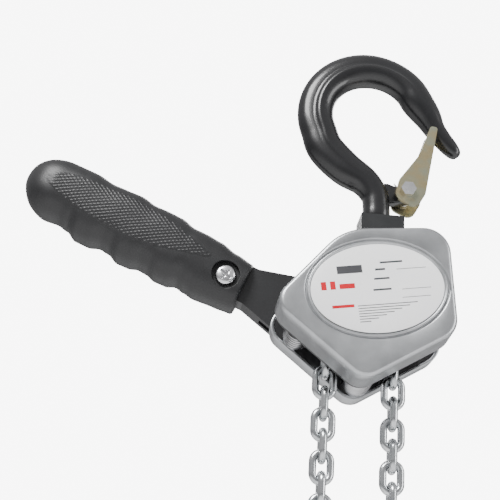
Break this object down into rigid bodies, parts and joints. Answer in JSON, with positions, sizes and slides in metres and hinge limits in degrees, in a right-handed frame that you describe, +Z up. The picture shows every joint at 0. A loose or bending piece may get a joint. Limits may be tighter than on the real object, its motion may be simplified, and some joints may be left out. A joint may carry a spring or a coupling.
{
  "type": "mini lever chain hoist",
  "caption": "Lever chain hoist: latched top hook, silver two-cover body with plates, gears, chain wheel and brake, gripped lever, link chain and latched load hook.",
  "frame": {"origin": "the load point inside the top hook, where the support bears", "axes": "+Z up along the pull of the load, -Y the front with the label, the lever towards -X"},
  "size_m": [0.2066, 0.08, 0.4537],
  "materials": {
    "hook_black": "satin black",
    "yellow_zinc": "yellow zinc",
    "yoke_black": "dark grey satin",
    "black_plate": "satin black",
    "pressed_silver": "silver satin",
    "label_white": "printed film",
    "chain_zinc": "bright zinc",
    "bronze": "plain",
    "friction": "brake lining",
    "gear_steel": "machined",
    "grip_rubber": "satin black, patterned",
    "knob_black": "satin",
    "bright_zinc": "bright zinc"
  },
  "bodies": {
    "top_hook": {"top_hook": "hook_black", "hook_collar": "bright_zinc", "top_latch_bolt": "bright_zinc", "top_latch_nut": "bright_zinc", "top_latch_spring": "bright_zinc"},
    "top_latch": {"top_latch": "yellow_zinc"},
    "top_yoke": {"top_yoke": "yoke_black"},
    "frame": {"suspension_pin": "bright_zinc", "gear_side_plate": "black_plate", "brake_side_plate": "black_plate", "gear_cover": "pressed_silver", "rating_label": "label_white", "brake_cover": "pressed_silver", "stay_bolts": "bright_zinc", "stay_sleeve": "bright_zinc", "stay_tubes": "bright_zinc", "stay_nuts": "bright_zinc", "guide_roller": "bright_zinc", "plate_bushings": "bronze", "chain_stripper": "black_plate", "ratchet_disc": "gear_steel", "pawl_pins": "bright_zinc"},
    "sheave": {"load_sheave": "gear_steel", "load_gear": "gear_steel", "chain_on_wheel": "chain_zinc"},
    "load_strand": {"load_chain": "chain_zinc", "bottom_yoke_front": "yoke_black", "bottom_yoke_rear": "yoke_black", "bottom_chain_pin": "bright_zinc", "bottom_yoke_screws": "bright_zinc"},
    "tail_strand": {"tail_chain": "chain_zinc", "chain_end_ring": "chain_zinc"},
    "drive_shaft": {"drive_shaft": "gear_steel", "disc_hub": "gear_steel", "friction_disc_front": "friction", "friction_disc_rear": "friction", "change_gear": "gear_steel", "shaft_nut": "bright_zinc"},
    "idler_a": {"idler_gear_a": "gear_steel"},
    "idler_b": {"idler_gear_b": "gear_steel"},
    "pawl_a": {"pawl_a": "gear_steel"},
    "pawl_b": {"pawl_b": "gear_steel"},
    "lever": {"lever_front_shell": "black_plate", "lever_rear_shell": "black_plate", "lever_rivets": "bright_zinc", "grip": "grip_rubber", "grip_screw": "bright_zinc", "grip_nut": "bright_zinc"},
    "selector": {"selector_lever": "black_plate"},
    "knob": {"free_wheel_knob": "knob_black"},
    "bottom_hook": {"bottom_hook": "hook_black", "bottom_latch_bolt": "bright_zinc", "bottom_latch_nut": "bright_zinc", "bottom_latch_spring": "bright_zinc"},
    "bottom_latch": {"bottom_latch": "yellow_zinc"}
  },
  "joints": [
    {"name": "top_latch_swing", "type": "hinge", "parent": "top_hook", "child": "top_latch", "pos_m": [0.0172, 0, -0.0546], "axis": [0, -1, 0], "range_deg": [0, 35], "stiffness_Nm_per_rad": 0.02, "springref_deg": -28.65},
    {"name": "top_swivel", "type": "hinge", "parent": "top_hook", "child": "top_yoke", "pos_m": [0.0042, 0, -0.0673], "axis": [0, 0, 1], "continuous": true},
    {"name": "body_swing", "type": "hinge", "parent": "top_yoke", "child": "frame", "pos_m": [0.00818, 0, -0.08698], "axis": [0, 1, 0], "range_deg": [-20, 20]},
    {"name": "sheave_spin", "type": "hinge", "parent": "frame", "child": "sheave", "pos_m": [-0.0018, 0, -0.114], "axis": [0, 1, 0], "range_deg": [-4, 2.3]},
    {"name": "load_strand_lift", "type": "slide", "parent": "frame", "child": "load_strand", "axis": [0, 0, -1], "range_m": [-0.001, 0.00056]},
    {"name": "tail_strand_lift", "type": "slide", "parent": "frame", "child": "tail_strand", "axis": [0, 0, 1], "range_m": [-0.001, 0.00056]},
    {"name": "shaft_spin", "type": "hinge", "parent": "frame", "child": "drive_shaft", "pos_m": [-0.0018, 0, -0.114], "axis": [0, 1, 0], "range_deg": [-10, 5.6]},
    {"name": "idler_a_spin", "type": "hinge", "parent": "frame", "child": "idler_a", "pos_m": [0.01517, 0, -0.10799], "axis": [0, 1, 0], "range_deg": [-3.6, 6.3]},
    {"name": "idler_b_spin", "type": "hinge", "parent": "frame", "child": "idler_b", "pos_m": [-0.01877, 0, -0.12001], "axis": [0, 1, 0], "range_deg": [-3.6, 6.3]},
    {"name": "pawl_a_swing", "type": "hinge", "parent": "frame", "child": "pawl_a", "pos_m": [0.01822, 0, -0.10267], "axis": [0, 1, 0], "range_deg": [0, 12], "stiffness_Nm_per_rad": 0.004, "springref_deg": -17.19},
    {"name": "pawl_b_swing", "type": "hinge", "parent": "frame", "child": "pawl_b", "pos_m": [-0.02182, 0, -0.12533], "axis": [0, 1, 0], "range_deg": [0, 12], "stiffness_Nm_per_rad": 0.004, "springref_deg": -17.19},
    {"name": "lever_swing", "type": "hinge", "parent": "frame", "child": "lever", "pos_m": [-0.0018, 0, -0.114], "axis": [0, 1, 0], "range_deg": [-200, 20]},
    {"name": "selector_swing", "type": "hinge", "parent": "lever", "child": "selector", "pos_m": [-0.02683, 0, -0.10389], "axis": [0, 1, 0], "range_deg": [-18, 18]},
    {"name": "knob_pull", "type": "slide", "parent": "drive_shaft", "child": "knob", "axis": [0, 1, 0], "range_m": [0, 0.004]},
    {"name": "bottom_swivel", "type": "hinge", "parent": "load_strand", "child": "bottom_hook", "pos_m": [0.01285, 0, -0.35229], "axis": [0, 0, 1], "continuous": true},
    {"name": "bottom_latch_swing", "type": "hinge", "parent": "bottom_hook", "child": "bottom_latch", "pos_m": [-0.00015, 0, -0.36539], "axis": [0, -1, 0], "range_deg": [0, 35], "stiffness_Nm_per_rad": 0.02, "springref_deg": -28.65}
  ],
  "couplings": [
    {"joint": "sheave_spin", "follows": "load_strand_lift", "rad_per_m": 68.213},
    {"joint": "tail_strand_lift", "follows": "load_strand_lift", "ratio": 1},
    {"joint": "idler_a_spin", "follows": "load_strand_lift", "rad_per_m": -107.19},
    {"joint": "idler_b_spin", "follows": "load_strand_lift", "rad_per_m": -107.19},
    {"joint": "shaft_spin", "follows": "load_strand_lift", "rad_per_m": 168.44}
  ]
}
